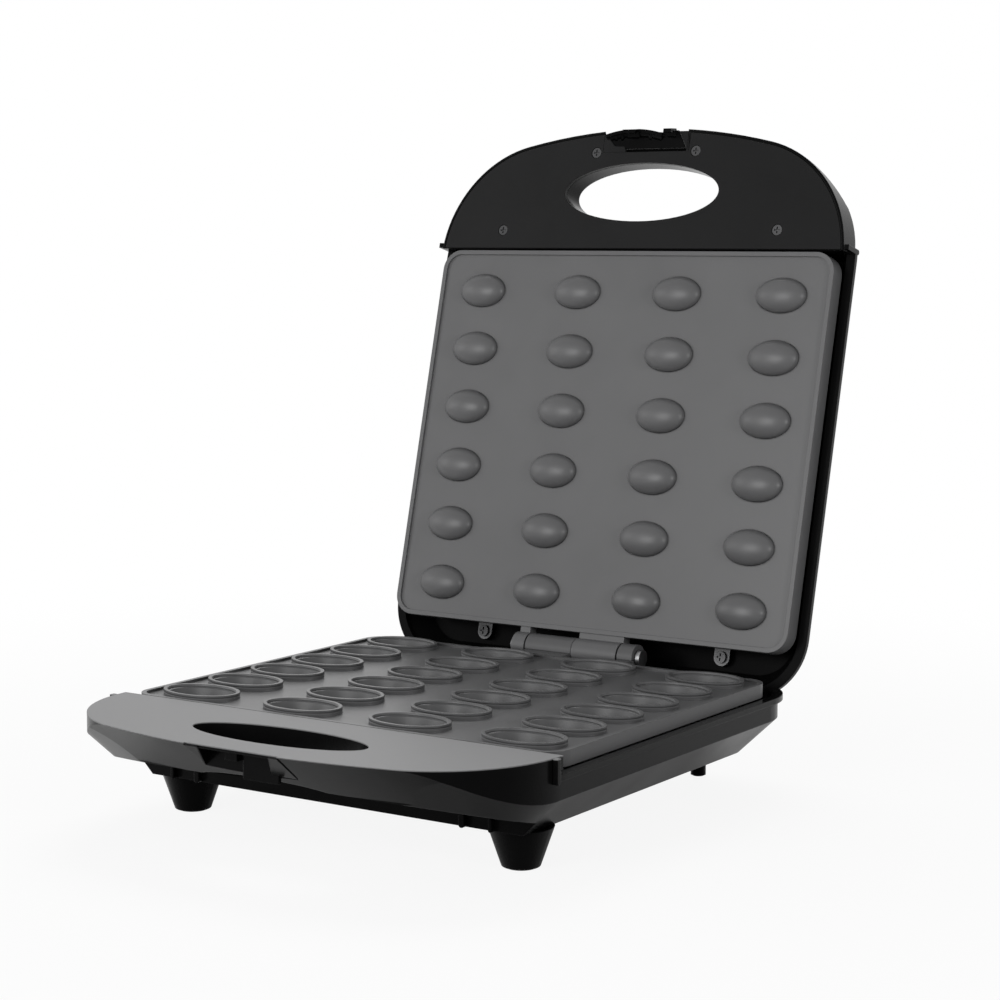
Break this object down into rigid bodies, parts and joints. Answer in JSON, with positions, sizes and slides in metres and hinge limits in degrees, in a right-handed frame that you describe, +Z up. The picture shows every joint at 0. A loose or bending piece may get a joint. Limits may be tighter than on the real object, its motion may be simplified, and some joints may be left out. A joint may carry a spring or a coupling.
{
  "type": "electric nut cookie maker",
  "caption": "Electric nut cookie maker with an open hinged lid, oval cups below, matching domes above, oval finger holes in both handles and a latch clip.",
  "frame": {"origin": "centre of the footprint of the open cooker, on the ground", "axes": "+X to the right seen from the handle side, +Y towards the hinge and the back, +Z up"},
  "size_m": [0.255, 0.3684, 0.3355],
  "materials": {
    "black_gloss": "moulded gloss",
    "black_matte": "fine texture",
    "coated_cast": "satin non-stick coating on cast aluminium",
    "heater_sheath": "heat-dulled steel sheath",
    "sheet_steel": "rolled sheet",
    "zinc_steel": "zinc plated",
    "rubber_black": "plain",
    "pale_insulator": "plain",
    "brass_parts": "plain",
    "wire_cover": "glass-braid sleeve",
    "red_lens": "clear moulded",
    "green_lens": "clear moulded",
    "lamp_glass": "clear"
  },
  "bodies": {
    "base": {"lower_housing": "black_gloss", "lower_handle_cover": "black_gloss", "handle_cover_screws": "zinc_steel", "lower_plate": "coated_cast", "lower_heater": "heater_sheath", "lower_heater_tabs": "brass_parts", "lower_heater_clips": "sheet_steel", "lower_tray": "sheet_steel", "lower_tray_screws": "zinc_steel", "lower_plate_screws": "zinc_steel", "thermostat": "pale_insulator", "thermostat_strap": "sheet_steel", "strap_screws": "zinc_steel", "terminal_block": "pale_insulator", "terminal_screws": "brass_parts", "cord_bush": "rubber_black", "base_wires": "wire_cover", "front_feet": "black_gloss", "foot_screws": "zinc_steel", "front_foot_pads": "rubber_black", "rear_feet": "black_gloss", "rear_foot_pads": "rubber_black", "hinge_pin": "zinc_steel", "hinge_ring": "zinc_steel"},
    "lid": {"lid_housing": "black_gloss", "upper_handle_panel": "black_matte", "panel_screws": "zinc_steel", "upper_plate": "coated_cast", "upper_heater": "heater_sheath", "upper_heater_tabs": "brass_parts", "upper_heater_clips": "sheet_steel", "upper_tray": "sheet_steel", "upper_tray_screws": "zinc_steel", "upper_plate_screws": "zinc_steel", "thermal_fuse": "brass_parts", "fuse_clamp": "sheet_steel", "power_lens": "red_lens", "ready_lens": "green_lens", "lamps": "lamp_glass", "lid_wires": "wire_cover", "latch_pin": "zinc_steel"},
    "latch": {"latch_clip": "black_gloss"}
  },
  "joints": [
    {"name": "lid_hinge", "type": "hinge", "parent": "base", "child": "lid", "pos_m": [0, 0.1013, 0.0572], "axis": [-1, 0, 0], "range_deg": [-104.3, 0]},
    {"name": "latch_hinge", "type": "hinge", "parent": "lid", "child": "latch", "pos_m": [0, 0.17471, 0.32414], "axis": [-1, 0, 0], "range_deg": [0, 20]}
  ]
}
